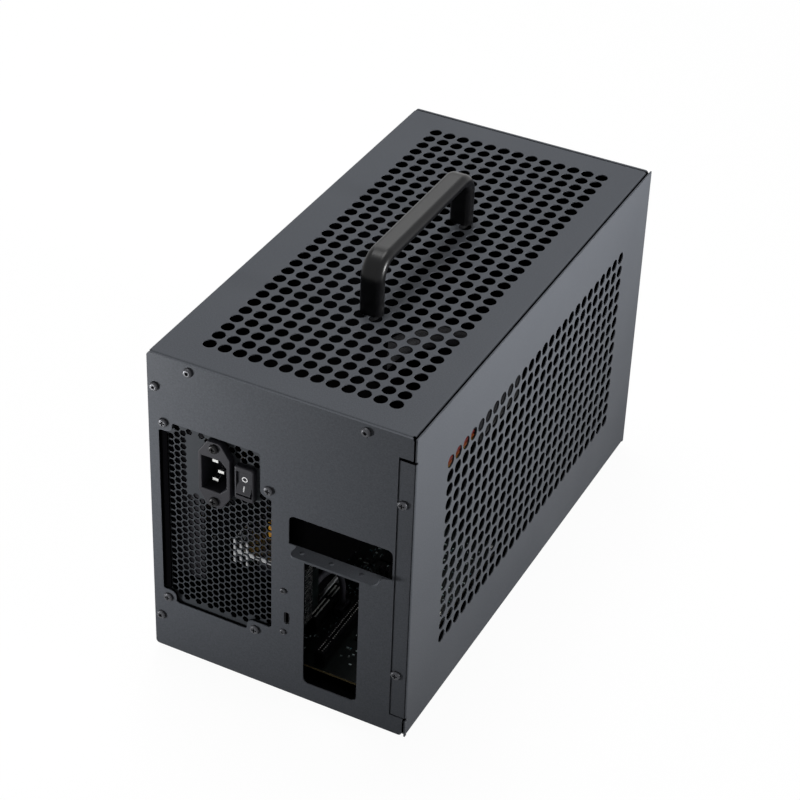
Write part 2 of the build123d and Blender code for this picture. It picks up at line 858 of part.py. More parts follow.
def fan_grille():
    """Welded wire guard over the fan opening."""
    x = supply_left - grille_wire / 2
    step = (fan_bore / 2 - 6) / grille_rings
    turned = Plane(origin=(x, fan_y, fan_z), x_dir=(0, 1, 0), z_dir=(1, 0, 0)).location
    guard = [turned * Torus(6 + step * (index + 1), grille_wire / 2) for index in range(grille_rings)]
    grille = guard[0]
    for ring in guard[1:]:
        grille += ring
    eyelet = (cross_screw + grille_wire) / 2 + 0.1
    half = fan_hole_span / sqrt(2) - eyelet
    for turn in (45, 135):
        bar = rod("z", grille_wire / 2, -half, half, 0, 0)
        grille += Pos(x, fan_y, fan_z) * Rot(turn, 0, 0) * bar
    for y, z in fan_screw_places():
        place = Plane(origin=(x, y, z), x_dir=(0, 1, 0), z_dir=(1, 0, 0)).location
        grille += place * Torus(eyelet, grille_wire / 2)
    return grille


def fan_screws():
    """Four screws that hold the guard, the wall and the fan together."""
    seats = [
        Plane(origin=(supply_left - grille_wire, y, z), x_dir=(0, 1, 0), z_dir=(-1, 0, 0)).location
        for y, z in fan_screw_places()
    ]
    recess = cross_recess(cross_head)
    length = fan_depth * 0.6
    return [
        screw(seat, cross_head, cross_head_height, cross_screw, length, recess)
        for seat in seats
    ]


supply_board_x = supply_right - 6.0
main_exit_z = supply_bottom + 40.0
card_exit_z = ledge_z + upper_height + plug_size[2] / 2 + clip_wall + 1.0
main_wires = 12


def main_loom_x():
    """Middle of the main loom, above its socket on the dock board."""
    return board_left + main_wires * wire_pitch / 2 + 2.0


def card_loom_x():
    """Where the card leads leave the supply."""
    return supply_right - 12.0


def main_neck():
    """Outline of the main loom's grommet where it passes the supply's end wall."""
    return SlotOverall(main_wires * wire_pitch + 6, 10)


def grommet_cuts():
    """Cutters for the two cable grommets in the supply's end wall."""
    main = facing_front(main_loom_x(), main_exit_z, supply_front) * extrude(main_neck(), -supply_sheet)
    neck = Circle(sleeve / 2 + 2)
    card = facing_front(card_loom_x(), card_exit_z, supply_front) * extrude(neck, -supply_sheet)
    return [main, card]


def main_grommet():
    """Soft edging around the main wires where they leave the supply."""
    ring = extrude(SlotOverall(main_wires * wire_pitch + 10, 14), 1.6)
    ring += extrude(main_neck(), -supply_sheet)
    ring = facing_front(main_loom_x(), main_exit_z, supply_front) * ring
    for index in range(main_wires):
        x = main_loom_x() + (index - (main_wires - 1) / 2) * wire_pitch
        ring -= rod("y", wire / 2, supply_front - supply_sheet, supply_front + 1.6, x, main_exit_z)
    return ring


def card_grommet():
    """Soft edging around the card lead's sleeve where it leaves the supply."""
    ring = extrude(Circle(sleeve / 2 + 4), 1.6) + extrude(Circle(sleeve / 2 + 2), -supply_sheet)
    ring = facing_front(card_loom_x(), card_exit_z, supply_front) * ring
    start, end = supply_front - supply_sheet, supply_front + 1.6
    return ring - rod("y", sleeve / 2, start, end, card_loom_x(), card_exit_z)


def supply_board():
    """Circuit board on the wall opposite the fan."""
    return block(
        (supply_board_x, supply_board_x + 1.6),
        (supply_rear + 8, supply_front - 8),
        (supply_bottom + 6, supply_top - 6),
    )


def supply_board_posts():
    """Four posts between the supply's wall and its board."""
    right = supply_right - supply_sheet
    ys = (supply_rear + 28, supply_front - 14)
    zs = (supply_bottom + 12, supply_top - 12)
    return [rod("x", 2.5, supply_board_x + 1.6, right, y, z) for y in ys for z in zs]


def supply_heatsinks():
    """Two comb-shaped extrusions standing on the supply's board, their ends towards the vents."""
    sinks = []
    for z, start in ((supply_bottom + 50, 12), (supply_top - 19, 30)):
        long = (supply_rear + start, supply_front - 16)
        sink = block((supply_board_x - 34, supply_board_x), long, (z - 1.5, z + 1.5))
        for index in range(3):
            x = supply_board_x - 34 + index * 4.5
            sink += block((x, x + 1.6), long, (z - 9, z + 9))
        sinks.append(sink)
    return sinks


def supply_transformers():
    """A small taped choke near the vents and two taped transformers on the supply's board."""
    blocks = []
    for y, long, wide, z, tall in ((17, 7, 8, 76.6, 6.5), (60, 14, 18, 90, 12), (100, 14, 18, 90, 12)):
        body = block(
            (supply_board_x - wide, supply_board_x),
            (supply_rear + y - long, supply_rear + y + long),
            (supply_bottom + z - tall, supply_bottom + z + tall),
        )
        blocks.append(fillet(body.edges(), 1.5))
    return blocks


def supply_capacitors():
    """Electrolytic cans on the supply's board."""
    cans = []
    for y, z, radius in ((44, 24, 11), (72, 24, 11), (100, 24, 9), (58, 13, 6), (86, 13, 6), (118, 20, 7)):
        can = rod("x", radius, supply_board_x - 30, supply_board_x, supply_rear + y, supply_bottom + z)
        cans.append(fillet(can.edges().group_by(Axis.X)[0], 1.0))
    return cans


def port_screw_heights():
    """The data port bracket's two screws, above and below the port."""
    return (port_z + port_screw_rise, port_z - port_screw_fall)


port_board_x = port_x + port_width / 2


def port_bracket():
    """Angle bracket behind the rear panel that carries the port board."""
    low, high = port_z - port_screw_fall - 5, port_z + port_screw_rise + 5
    leg = port_board_x + port_board_thickness
    bracket = block((supply_right + 0.6, leg + 1.2), (rear_in, rear_in + 1.2), (low, high))
    bracket += block((leg, leg + 1.2), (rear_in, rear_in + port_board_length * 0.7), (low, high))
    window = Rectangle(port_width + 2 * port_gap, port_height + 2 * port_gap)
    bracket -= facing_rear(port_x, port_z, rear_in) * extrude(window, -1.2)
    bracket -= block(
        (port_board_x, leg),
        (rear_in, rear_in + 1.2),
        (port_z - port_height / 2 - port_gap, port_z + port_height / 2 + port_gap),
    )
    for z in port_screw_heights():
        bracket -= rod("y", port_screw / 2, rear_in, rear_in + 1.2, port_screw_x, z)
    return bracket


def port_board():
    """Small board on the bracket that holds the data port."""
    return block(
        (port_board_x, port_board_x + port_board_thickness),
        (rear_in + 1.6, rear_in + port_board_length),
        (port_z - 14, port_z + 18),
    )


def port_shell():
    """Pressed steel shell of the data port, open towards the rear."""
    outer = SlotOverall(port_height, port_width, rotation=90)
    inner = SlotOverall(port_height - 2 * port_wall, port_width - 2 * port_wall, rotation=90)
    mouth = facing_rear(port_x, port_z, rear_y + 0.4)
    shell = mouth * extrude(outer, -port_depth)
    return shell - mouth * extrude(inner, -(port_depth - 1.0))


def port_tongue():
    """Flat contact tongue inside the port shell."""
    back = rear_y + 0.4 + port_depth - 1.0
    return block((port_x - 0.35, port_x + 0.35), (back - 5.6, back), (port_z - 3.3, port_z + 3.3))


def port_screws():
    """Two small screws of the port bracket."""
    recess = cross_recess(port_head)
    return [
        screw(facing_rear(port_screw_x, z, rear_y), port_head, 1.4, port_screw, plate + 3, recess)
        for z in port_screw_heights()
    ]


def port_lead():
    """Round lead from the port board down to the dock board."""
    x = port_board_x - port_lead_inset
    start = rear_in + port_board_length
    path = FilletPolyline(
        (x, start, port_z),
        (x, start + 40, port_z),
        (x, start + 40, board_top + 6),
        radius=port_bend,
    )
    section = Plane(origin=(x, start, port_z), x_dir=(1, 0, 0), z_dir=(0, 1, 0)) * Circle(2)
    return sweep(section, path)


def port_plugs():
    """Plug blocks at the two ends of the port lead."""
    x = port_board_x - port_lead_inset
    start = rear_in + port_board_length
    high = block((port_board_x - 6, port_board_x), (start - 8, start), (port_z - 6, port_z + 6))
    low = block((x - 3, x + 3), (start + 34, start + 46), (board_top, board_top + 6))
    return [high, low]


def board_hole_places():
    """Screw holes near the dock board's corners and middle."""
    xs = (board_left + board_hole_inset, board_left + board_width - board_hole_inset)
    ys = [board_y + board_hole_inset + index * (board_length / 2 - board_hole_inset) for index in range(3)]
    return [(x, y) for x in xs for y in ys]


def dock_board():
    """Circuit board on the floor that carries the card slot."""
    board = block((board_left, board_left + board_width), (board_y, board_y + board_length), (board_z, board_top))
    for x, y in board_hole_places():
        board -= rod("z", 1.6, board_z, board_top, x, y)
    return board


def board_standoffs():
    """Six-sided spacers between the floor and the dock board."""
    post = extrude(RegularPolygon(standoff_diameter / 2, 6), standoff_height)
    post -= extrude(Circle(1.5), standoff_height)
    return [Pos(x, y, floor_z) * post for x, y in board_hole_places()]


def board_screws():
    """Small screws through the dock board into its standoffs."""
    head = 5.4
    screws = []
    for x, y in board_hole_places():
        seat = Plane(origin=(x, y, board_top), x_dir=(1, 0, 0), z_dir=(0, 0, 1))
        screws.append(screw(seat.location, head, 1.8, 3.0, board_thickness + 4, cross_recess(head)))
    return screws


def edge_slot(x, setback, length, key):
    """Card-edge socket standing on the dock board, its groove interrupted by a key."""
    start = board_y + setback
    half = card_slot_width / 2
    body = block((x - half, x + half), (start, start + length), (board_top, board_top + slot_height))
    body = fillet(body.edges().filter_by(Axis.Z), 0.8)
    groove_low = board_top + slot_height - slot_groove_depth
    for low, high in ((1.5, key - slot_key / 2), (key + slot_key / 2, length - 1.5)):
        body -= block(
            (x - slot_groove / 2, x + slot_groove / 2),
            (start + low, start + high),
            (groove_low, board_top + slot_height),
        )
    return body


def slot_latch():
    """Swing lever at the far end of the card slot, kept as a fixed catch."""
    start = board_y + card_slot_setback + card_slot_length
    half = card_slot_width / 2
    catch = block((card_slot_x - half, card_slot_x + half), (start, start + 6), (board_top, board_top + 15))
    catch -= block((card_slot_x - 1.2, card_slot_x + 1.2), (start, start + 6), (board_top + 4, board_top + 15))
    return fillet(catch.edges().filter_by(Axis.X).group_by(Axis.Z)[-1], 1.0)


def controller_heatsink():
    """Finned block over the dock board's controller."""
    left, rear = board_left + 8, board_y + 54
    sink = block((left, left + 20), (rear, rear + 30), (board_top, board_top + 4))
    for index in range(5):
        x = left + 0.6 + index * 4.4
        sink += block((x, x + 1.2), (rear, rear + 30), (board_top + 4, board_top + 13))
    return sink


def board_capacitors():
    """Small cans on the dock board."""
    cans = []
    for index in range(4):
        y = board_y + 24 + index * 16
        can = rod("z", 4, board_top, board_top + 10, board_left + board_width - 24, y)
        cans.append(fillet(can.edges().group_by(Axis.Z)[-1], 0.6))
    return cans


def board_chips():
    """Flat chip packages on the dock board."""
    chips = []
    for x, y, size in ((-14, 30, 9), (-16, 50, 7), (-28, 34, 8), (31, 40, 9), (31, 70, 7), (8, 120, 9)):
        chips.append(block(
            (x - size / 2, x + size / 2),
            (board_y + y - size / 2, board_y + y + size / 2),
            (board_top, board_top + 1.4),
        ))
    return chips


main_socket_y = supply_front + 30.0
main_socket_height = 13.0
main_plug_height = 14.0


def main_socket():
    """Two-row power socket on the dock board."""
    half = main_wires * wire_pitch / 2 + 1
    x = main_loom_x()
    body = block(
        (x - half, x + half),
        (main_socket_y - 5.2, main_socket_y + 5.2),
        (board_top, board_top + main_socket_height),
    )
    return fillet(body.edges().filter_by(Axis.Z), 0.6)


def main_plug():
    """Plug of the main loom, seated on its socket."""
    half = main_wires * wire_pitch / 2 + 1.4
    x = main_loom_x()
    low = board_top + main_socket_height
    body = block((x - half, x + half), (main_socket_y - 5.6, main_socket_y + 5.6), (low, low + main_plug_height))
    body = fillet(body.edges().filter_by(Axis.Z), 0.8)
    latch = block((x - 6, x + 6), (main_socket_y + 5.6, main_socket_y + 7.2), (low, low + 12))
    return body + latch


def main_wire(index):
    """One wire of the main loom, from the supply's grommet over and down into the plug."""
    x = main_loom_x() + (index - (main_wires - 1) / 2) * wire_pitch
    low = board_top + main_socket_height + main_plug_height
    start = supply_front - supply_sheet
    path = FilletPolyline(
        (x, start, main_exit_z),
        (x, main_socket_y, main_exit_z),
        (x, main_socket_y, low),
        radius=main_bend,
    )
    section = Plane(origin=(x, start, main_exit_z), x_dir=(1, 0, 0), z_dir=(0, 1, 0)) * Circle(wire / 2)
    return sweep(section, path)


card_lead_x = half_width - 17.0
card_lead_front = supply_front + 66.0
card_plug_rear = rear_in + clip_wall + 0.4
card_plug_front = card_plug_rear + plug_size[1]
card_wires_front = card_plug_front + lead_length


def card_sleeve():
    """Braided sleeve of the card lead: out of the supply and round to the side of the card bay."""
    x = card_loom_x()
    start = supply_front - supply_sheet
    path = FilletPolyline(
        (x, start, card_exit_z),
        (x, card_lead_front, card_exit_z),
        (card_lead_x, card_lead_front, card_exit_z),
        (card_lead_x, card_wires_front, card_exit_z),
        radius=sleeve_bend,
    )
    section = Plane(origin=(x, start, card_exit_z), x_dir=(1, 0, 0), z_dir=(0, 1, 0)) * Circle(sleeve / 2)
    return sweep(section, path)


def card_wire(column, row):
    """One bare wire between the sleeve's end and the parked plug."""
    x = card_lead_x + (column - 0.5) * wire_pitch * 0.75
    z = card_exit_z + (row - 1.5) * wire_pitch * 0.7
    return rod("y", wire / 2, card_plug_front, card_wires_front, x, z)


def card_plug():
    """Plug of the card lead, parked in its clip behind the rear panel."""
    wide, tall = plug_size[0] / 2, plug_size[2] / 2
    body = block(
        (card_lead_x - wide, card_lead_x + wide),
        (card_plug_rear, card_plug_front),
        (card_exit_z - tall, card_exit_z + tall),
    )
    return fillet(body.edges().filter_by(Axis.Y), 0.8)


def plug_clip():
    """Moulded clip stuck inside the rear panel, gripping the parked plug above and below."""
    wide, tall = plug_size[0] / 2, plug_size[2] / 2
    low, high = card_exit_z - tall - clip_wall, card_exit_z + tall + clip_wall
    clip = block(
        (card_lead_x - wide, card_lead_x + wide),
        (rear_in, card_plug_rear + plug_size[1] * 0.6),
        (low, high),
    )
    clip -= block(
        (card_lead_x - wide, card_lead_x + wide),
        (rear_in + clip_wall, card_plug_front),
        (low + clip_wall, high - clip_wall),
    )
    return clip


def build():
    """Make every piece and write one file for each node."""
    os.makedirs("parts", exist_ok=True)
    save("base_panel", *base_panel())
    save("rear_panel", *rear_panel())
    save("front_panel", front_panel())
    save("left_panel", *left_panel())
    save("top_panel", *top_panel())
    save("right_panel", *right_panel())
    save("screw_tabs", *screw_tabs())
    save("feet", *[foot(x, y) for x, y in foot_places()])
    save("handle", handle())
    save("handle_screws", *handle_screws())
    save("panel_screws", *case_screws(facing_rear, rear_y), *case_screws(facing_front, front_y))
    side_places = [(flange_screw_x(), z) for z in side_screw_z]
    save("right_panel_screws", *cross_screws(side_places, rear_in - skin, cross_screw_length))
    save("supply_tray", *supply_tray())
    save("supply_cover", *supply_cover())
    inlet_screws = cross_screws(inlet_screw_places(), supply_rear - inlet_proud, cross_screw_length)
    save("supply_screws", *cross_screws(supply_holes, rear_y, cross_screw_length), *inlet_screws)
    save("inlet_body", inlet_body())
    save("inlet_pins", *[pin(across, along) for across, along in pin_places()])
    save("switch_frame", switch_frame())
    save("switch_rocker", rocker())
    save("fan_frame", fan_frame())
    save("fan_rotor", fan_rotor())
    save("fan_grille", fan_grille())
    save("fan_screws", *fan_screws())
    save("supply_board", supply_board())
    save("supply_board_posts", *supply_board_posts())
    save("supply_heatsinks", *supply_heatsinks())
    save("supply_transformers", *supply_transformers())
    save("supply_capacitors", *supply_capacitors())
    save("main_grommet", main_grommet())
    save("card_grommet", card_grommet())
    save("main_wires_yellow", *[main_wire(index) for index in (0, 1, 9)])
    save("main_wires_orange", *[main_wire(index) for index in (2, 3, 4)])
    save("main_wires_red", *[main_wire(index) for index in (5, 7, 10)])
    save("main_wires_black", *[main_wire(index) for index in (6, 8, 11)])
    save("main_plug", main_plug())
    save("main_socket", main_socket())
    save("card_sleeve", card_sleeve())
    for row, colour in enumerate(("black", "yellow", "orange", "red")):
        save("card_wires_" + colour, card_wire(0, row), card_wire(1, row))
    save("card_plug", card_plug())
    save("plug_clip", plug_clip())
    save("port_bracket", port_bracket())
    save("port_board", port_board())
    save("port_shell", port_shell())
    save("port_tongue", port_tongue())
    save("port_screws", *port_screws())
    save("port_lead", port_lead())
    save("port_plugs", *port_plugs())
    save("dock_board", dock_board())
    save("board_standoffs", *board_standoffs())
    save("board_screws", *board_screws())
    save("card_slot", edge_slot(card_slot_x, card_slot_setback, card_slot_length, card_slot_key))
    save("short_slot", edge_slot(
        card_slot_x - slot_pitch, short_slot_setback, short_slot_length, short_slot_key
    ))
    save("slot_latch", slot_latch())
    save("controller_heatsink", controller_heatsink())
    save("board_capacitors", *board_capacitors())
    save("board_chips", *board_chips())


build()
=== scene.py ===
import json
from math import cos, radians, sin

import bpy
import numpy as np
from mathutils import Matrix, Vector


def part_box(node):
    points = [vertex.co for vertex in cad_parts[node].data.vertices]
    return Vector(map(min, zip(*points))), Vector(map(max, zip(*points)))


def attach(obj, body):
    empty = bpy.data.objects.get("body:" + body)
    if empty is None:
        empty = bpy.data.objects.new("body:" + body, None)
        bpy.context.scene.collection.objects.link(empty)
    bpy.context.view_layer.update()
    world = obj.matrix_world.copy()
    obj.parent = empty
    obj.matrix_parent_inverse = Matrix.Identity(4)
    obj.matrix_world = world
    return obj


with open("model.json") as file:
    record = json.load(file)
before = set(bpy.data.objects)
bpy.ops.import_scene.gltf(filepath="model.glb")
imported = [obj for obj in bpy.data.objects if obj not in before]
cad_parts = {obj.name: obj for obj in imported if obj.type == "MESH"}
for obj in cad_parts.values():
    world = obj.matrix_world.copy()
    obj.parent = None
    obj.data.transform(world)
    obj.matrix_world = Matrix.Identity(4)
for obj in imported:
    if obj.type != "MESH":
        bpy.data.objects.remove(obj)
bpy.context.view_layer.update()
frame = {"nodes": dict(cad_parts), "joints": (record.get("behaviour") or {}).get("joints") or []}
nodes = frame["nodes"]

# Case sheets
# Steel sheet, cut and punched flat, folded at the edges, powder coated and screwed together.
# The coat is a dark grey with a fine sandy feel; the inside faces are painted near black as painted shade.


def linear(code):
    """Linear light of an sRGB hex colour: low parts over 12.92, the others to the power 2.4; full cover."""
    parts = np.array([int(code[i:i + 2], 16) for i in (1, 3, 5)]) / 255
    parts = np.where(parts <= 0.04045, parts / 12.92, ((parts + 0.055) / 1.055) ** 2.4)
    return (*parts, 1.0)


def in_use(sockets):
    """The sockets that a node's settings leave in use, by name and, for names that repeat, by number."""
    used = [socket for socket in sockets if socket.enabled]
    return {socket.name: socket for socket in used} | dict(enumerate(used))


def add(tree, kind, inputs, out=0, **settings):
    """Adds one shader node with its settings and links, and gives back one of its outputs, if it has any."""
    made = tree.nodes.new(kind)
    for name, value in settings.items():
        setattr(made, name, value)
    entries = in_use(made.inputs)
    for key, value in inputs.items():
        if isinstance(value, bpy.types.NodeSocket):
            tree.links.new(value, entries[key])
        else:
            entries[key].default_value = value
    return in_use(made.outputs).get(out)


def finish_of(name):
    """New material with an empty tree; gives the material, its tree and the piece's own coordinates."""
    material = bpy.data.materials.new(name)
    material.use_nodes = True
    tree = material.node_tree
    tree.nodes.clear()
    place = add(tree, "ShaderNodeTexCoord", {}, "Object")
    return material, tree, place


def dress(material, *names):
    """Puts a material on CAD nodes, in place of the plain one that they came with."""
    for name in names:
        nodes[name].data.materials.clear()
        nodes[name].data.materials.append(material)


# Sandy powder coat: matt and even, with grains of about 0.2 mm that break up the highlight.
# They are drawn about 0.9 mm wide, because the real ones are finer than a pixel.
sandy_coat, tree, place = finish_of("sandy_powder_coat")
sand_width = 0.0009
cloud_width = 0.06
grain = add(tree, "ShaderNodeTexNoise", {
    "Vector": place, "Scale": 1 / sand_width, "Detail": 2.0, "Roughness": 0.6,
})
cloud = add(tree, "ShaderNodeTexNoise", {"Vector": place, "Scale": 1 / cloud_width, "Detail": 3.0})
# Nearly all of a noise lies between these two values.
noise_low, noise_high = 0.3, 0.7
speck = add(tree, "ShaderNodeMapRange", {"Value": grain, "From Min": noise_low, "From Max": noise_high})
outer = add(tree, "ShaderNodeMix", {
    "Factor": speck, "A": linear("#515459"), "B": linear("#5b5e64"),
}, data_type="RGBA")
# Painted shade: the inside faces take a near-black colour in place of the shade inside the case.
inside_shade = add(tree, "ShaderNodeMix", {
    "Factor": cloud, "A": linear("#060607"), "B": linear("#0d0d0f"),
}, data_type="RGBA")

# The painted shade of the inside starts 0.7 mm below the outer faces. A point lies inside where its distance
# from the middle of the case, as a share of the half size less that depth, is under one on all three axes.
shade_depth = 0.0007
front_low, front_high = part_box("front_panel")
rear_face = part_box("rear_panel")[1].y - (front_high.y - front_low.y)
case_low = Vector((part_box("left_panel")[0].x, rear_face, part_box("base_panel")[0].z))
case_high = Vector((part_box("right_panel")[1].x, front_high.y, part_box("top_panel")[1].z))
case_middle = (case_low + case_high) / 2
half_size = (case_high - case_low) / 2 - Vector((shade_depth, shade_depth, shade_depth))
offset = add(tree, "ShaderNodeVectorMath", {0: place, 1: case_middle}, operation="SUBTRACT")
share = add(tree, "ShaderNodeVectorMath", {0: offset, 1: half_size}, operation="DIVIDE")
share = add(tree, "ShaderNodeVectorMath", {0: share}, operation="ABSOLUTE")
axes = add(tree, "ShaderNodeSeparateXYZ", {"Vector": share}).node.outputs
widest = add(tree, "ShaderNodeMath", {0: axes["X"], 1: axes["Y"]}, operation="MAXIMUM")
widest = add(tree, "ShaderNodeMath", {0: widest, 1: axes["Z"]}, operation="MAXIMUM")
inside = add(tree, "ShaderNodeMath", {0: widest, 1: 1.0}, operation="LESS_THAN")
shade = add(tree, "ShaderNodeMix", {"Factor": inside, "A": outer, "B": inside_shade}, data_type="RGBA")
# The inside also gets no shine, as part of the same painted shade.
shine = add(tree, "ShaderNodeMapRange", {"Value": inside, "To Min": 0.06, "To Max": 0.0})
matt = add(tree, "ShaderNodeMapRange", {
    "Value": cloud, "From Min": noise_low, "From Max": noise_high, "To Min": 0.52, "To Max": 0.6,
})
bump = add(tree, "ShaderNodeBump", {"Height": grain, "Strength": 0.22, "Distance": 0.00025})
coat = add(tree, "ShaderNodeBsdfPrincipled", {
    "Base Color": shade, "Roughness": matt, "Specular IOR Level": shine, "Normal": bump,
})
add(tree, "ShaderNodeOutputMaterial", {"Surface": coat})
dress(
    sandy_coat, "base_panel", "rear_panel", "front_panel", "left_panel", "top_panel", "right_panel",
    "screw_tabs",
)

# Feet and cable grommets
# Round rubber bumpers stuck under the base, and soft edgings where wires leave the supply.
# Both are moulded black rubber, dull and slightly dusty.
rubber, tree, place = finish_of("moulded_rubber")
dust_width = 0.004
dust = add(tree, "ShaderNodeTexNoise", {"Vector": place, "Scale": 1 / dust_width, "Detail": 5.0})
shade = add(tree, "ShaderNodeMix", {
    "Factor": dust, "A": linear("#141414"), "B": linear("#232325"),
}, data_type="RGBA")
bump = add(tree, "ShaderNodeBump", {"Height": dust, "Strength": 0.1, "Distance": 0.0002})
skin = add(tree, "ShaderNodeBsdfPrincipled", {
    "Base Color": shade, "Roughness": 0.82, "Specular IOR Level": 0.2, "Normal": bump,
})
add(tree, "ShaderNodeOutputMaterial", {"Surface": skin})
dress(rubber, "feet", "main_grommet", "card_grommet")

# Carrying handle
# A flat-oval steel bar bent to a U and screwed to the lid from below.
# It is powder coated in a smooth satin black, so its crown mirrors the light behind it.
satin_black, tree, place = finish_of("satin_black_powder_coat")
peel_width = 0.0022
peel = add(tree, "ShaderNodeTexNoise", {"Vector": place, "Scale": 1 / peel_width, "Detail": 2.0})
shade = add(tree, "ShaderNodeMix", {
    "Factor": peel, "A": linear("#060607"), "B": linear("#0c0c0e"),
}, data_type="RGBA")
matt = add(tree, "ShaderNodeMapRange", {
    "Value": peel, "From Min": noise_low, "From Max": noise_high, "To Min": 0.28, "To Max": 0.32,
})
bump = add(tree, "ShaderNodeBump", {"Height": peel, "Strength": 0.03, "Distance": 0.0002})
coat = add(tree, "ShaderNodeBsdfPrincipled", {
    "Base Color": shade, "Roughness": matt, "Specular IOR Level": 0.2, "Normal": bump,
})
add(tree, "ShaderNodeOutputMaterial", {"Surface": coat})
dress(satin_black, "handle")

# Screws
# Pressed steel in dark passivated zinc, a thin skin that keeps a dull glint on the lit side of a head.
# The two screws of the inlet are black oxide instead, so the colour goes by the place across the face.
dark_zinc, tree, place = finish_of("dark_zinc_plating")
stain_width = 0.0015
inlet_low, inlet_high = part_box("inlet_body")
inlet_middle = (inlet_low.x + inlet_high.x) / 2
oxide_reach = 0.006
stain = add(tree, "ShaderNodeTexNoise", {"Vector": place, "Scale": 1 / stain_width, "Detail": 4.0})
zinc = add(tree, "ShaderNodeMix", {
    "Factor": stain, "A": linear("#404145"), "B": linear("#5e5f63"),
}, data_type="RGBA")
oxide = add(tree, "ShaderNodeMix", {
    "Factor": stain, "A": linear("#0c0c0d"), "B": linear("#1c1c1e"),
}, data_type="RGBA")
place_x = add(tree, "ShaderNodeSeparateXYZ", {"Vector": place}, "X")
near_inlet = add(tree, "ShaderNodeMath", {0: place_x, 1: inlet_middle, 2: oxide_reach}, operation="COMPARE")
shade = add(tree, "ShaderNodeMix", {"Factor": near_inlet, "A": zinc, "B": oxide}, data_type="RGBA")
matt = add(tree, "ShaderNodeMapRange", {
    "Value": stain, "From Min": noise_low, "From Max": noise_high, "To Min": 0.3, "To Max": 0.42,
})
plating = add(tree, "ShaderNodeBsdfPrincipled", {
    "Base Color": shade, "Metallic": 0.3, "Roughness": matt, "Specular IOR Level": 0.2,
})
add(tree, "ShaderNodeOutputMaterial", {"Surface": plating})
dress(
    dark_zinc, "handle_screws", "panel_screws", "right_panel_screws", "supply_screws", "fan_screws",
    "port_screws",
)

# Power supply case
# Two folded halves of thin steel: a tray with the honeycomb face and a cover with the fan.
# The face is sprayed matt dark grey, its fine grain drawn 0.8 mm wide to show; the rest is near-black painted
# shade.
supply_coat, tree, place = finish_of("matt_grey_powder_coat")
spray_width = 0.0008
boss_height = 0.001
face_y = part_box("supply_tray")[0].y + boss_height
# Painted shade begins just behind the front face and is full 0.7 mm behind it.
shade_start, shade_end = face_y + 0.0002, face_y + 0.0007
spray = add(tree, "ShaderNodeTexNoise", {"Vector": place, "Scale": 1 / spray_width, "Detail": 2.0})
face = add(tree, "ShaderNodeMix", {
    "Factor": spray, "A": linear("#3c3f43"), "B": linear("#474a4e"),
}, data_type="RGBA")
# Painted shade: the faces behind the front one take a near-black colour in place of the shade inside the
# supply.
inside_shade = add(tree, "ShaderNodeMix", {
    "Factor": spray, "A": linear("#060607"), "B": linear("#0c0c0d"),
}, data_type="RGBA")
place_y = add(tree, "ShaderNodeSeparateXYZ", {"Vector": place}, "Y")
shaded_behind_face = add(tree, "ShaderNodeMapRange", {"Value": place_y, "From Min": shade_start, "From Max": shade_end})
shade = add(tree, "ShaderNodeMix", {"Factor": shaded_behind_face, "A": face, "B": inside_shade}, data_type="RGBA")
shine = add(tree, "ShaderNodeMapRange", {"Value": shaded_behind_face, "To Min": 0.06, "To Max": 0.0})
bump = add(tree, "ShaderNodeBump", {"Height": spray, "Strength": 0.2, "Distance": 0.0002})
coat = add(tree, "ShaderNodeBsdfPrincipled", {
    "Base Color": shade, "Roughness": 0.6, "Specular IOR Level": shine, "Normal": bump,
})
add(tree, "ShaderNodeOutputMaterial", {"Surface": coat})
dress(supply_coat, "supply_tray", "supply_cover")

# Mains inlet, switch, fan and plugs
# Moulded from black nylon, and pushed or screwed into the sheets and boards that hold them.
# The mould's spark-eroded walls leave an even, silky surface, with its pits drawn 0.7 mm wide to show.
moulded_black, tree, place = finish_of("moulded_black_nylon")
spark_width = 0.0007
spark = add(tree, "ShaderNodeTexVoronoi", {"Vector": place, "Scale": 1 / spark_width})
shade = add(tree, "ShaderNodeMix", {
    "Factor": spark, "A": linear("#222226"), "B": linear("#303036"),
}, data_type="RGBA")
matt = add(tree, "ShaderNodeMapRange", {"Value": spark, "From Max": 0.8, "To Min": 0.42, "To Max": 0.52})
bump = add(tree, "ShaderNodeBump", {"Height": spark, "Strength": 0.12, "Distance": 0.0001})
nylon = add(tree, "ShaderNodeBsdfPrincipled", {
    "Base Color": shade, "Roughness": matt, "Specular IOR Level": 0.15, "Normal": bump,
})
add(tree, "ShaderNodeOutputMaterial", {"Surface": nylon})
dress(
    moulded_black, "inlet_body", "switch_frame", "switch_rocker", "fan_frame", "fan_rotor", "main_plug",
    "main_socket", "card_plug", "plug_clip", "port_tongue", "port_lead", "port_plugs",
)

# Marks on the rocker
# A ring on the upper facet stands for off and a bar on the lower one for on, pad printed in white ink.
# The ink lies a few hundredths of a millimetre proud, and it is slightly worn.


def sheet_of(name, points, material, body):
    """Mesh over a stack of grids, where four neighbouring points of a grid make a quad.

    The points are in metres, in an array of pieces, rows, columns and the three coordinates.
    """
    count, rows, columns = points.shape[:3]
    index = np.arange(count * rows * columns).reshape(count, rows, columns)
    corners = (index[:, :-1, :-1], index[:, :-1, 1:], index[:, 1:, 1:], index[:, 1:, :-1])
    quads = np.stack(corners, axis=-1).reshape(-1, 4)
    mesh = bpy.data.meshes.new(name)
    mesh.from_pydata(points.reshape(-1, 3).tolist(), [], quads.tolist())
    mesh.materials.append(material)
    piece = bpy.data.objects.new(name, mesh)
    bpy.context.scene.collection.objects.link(piece)
    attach(piece, body)


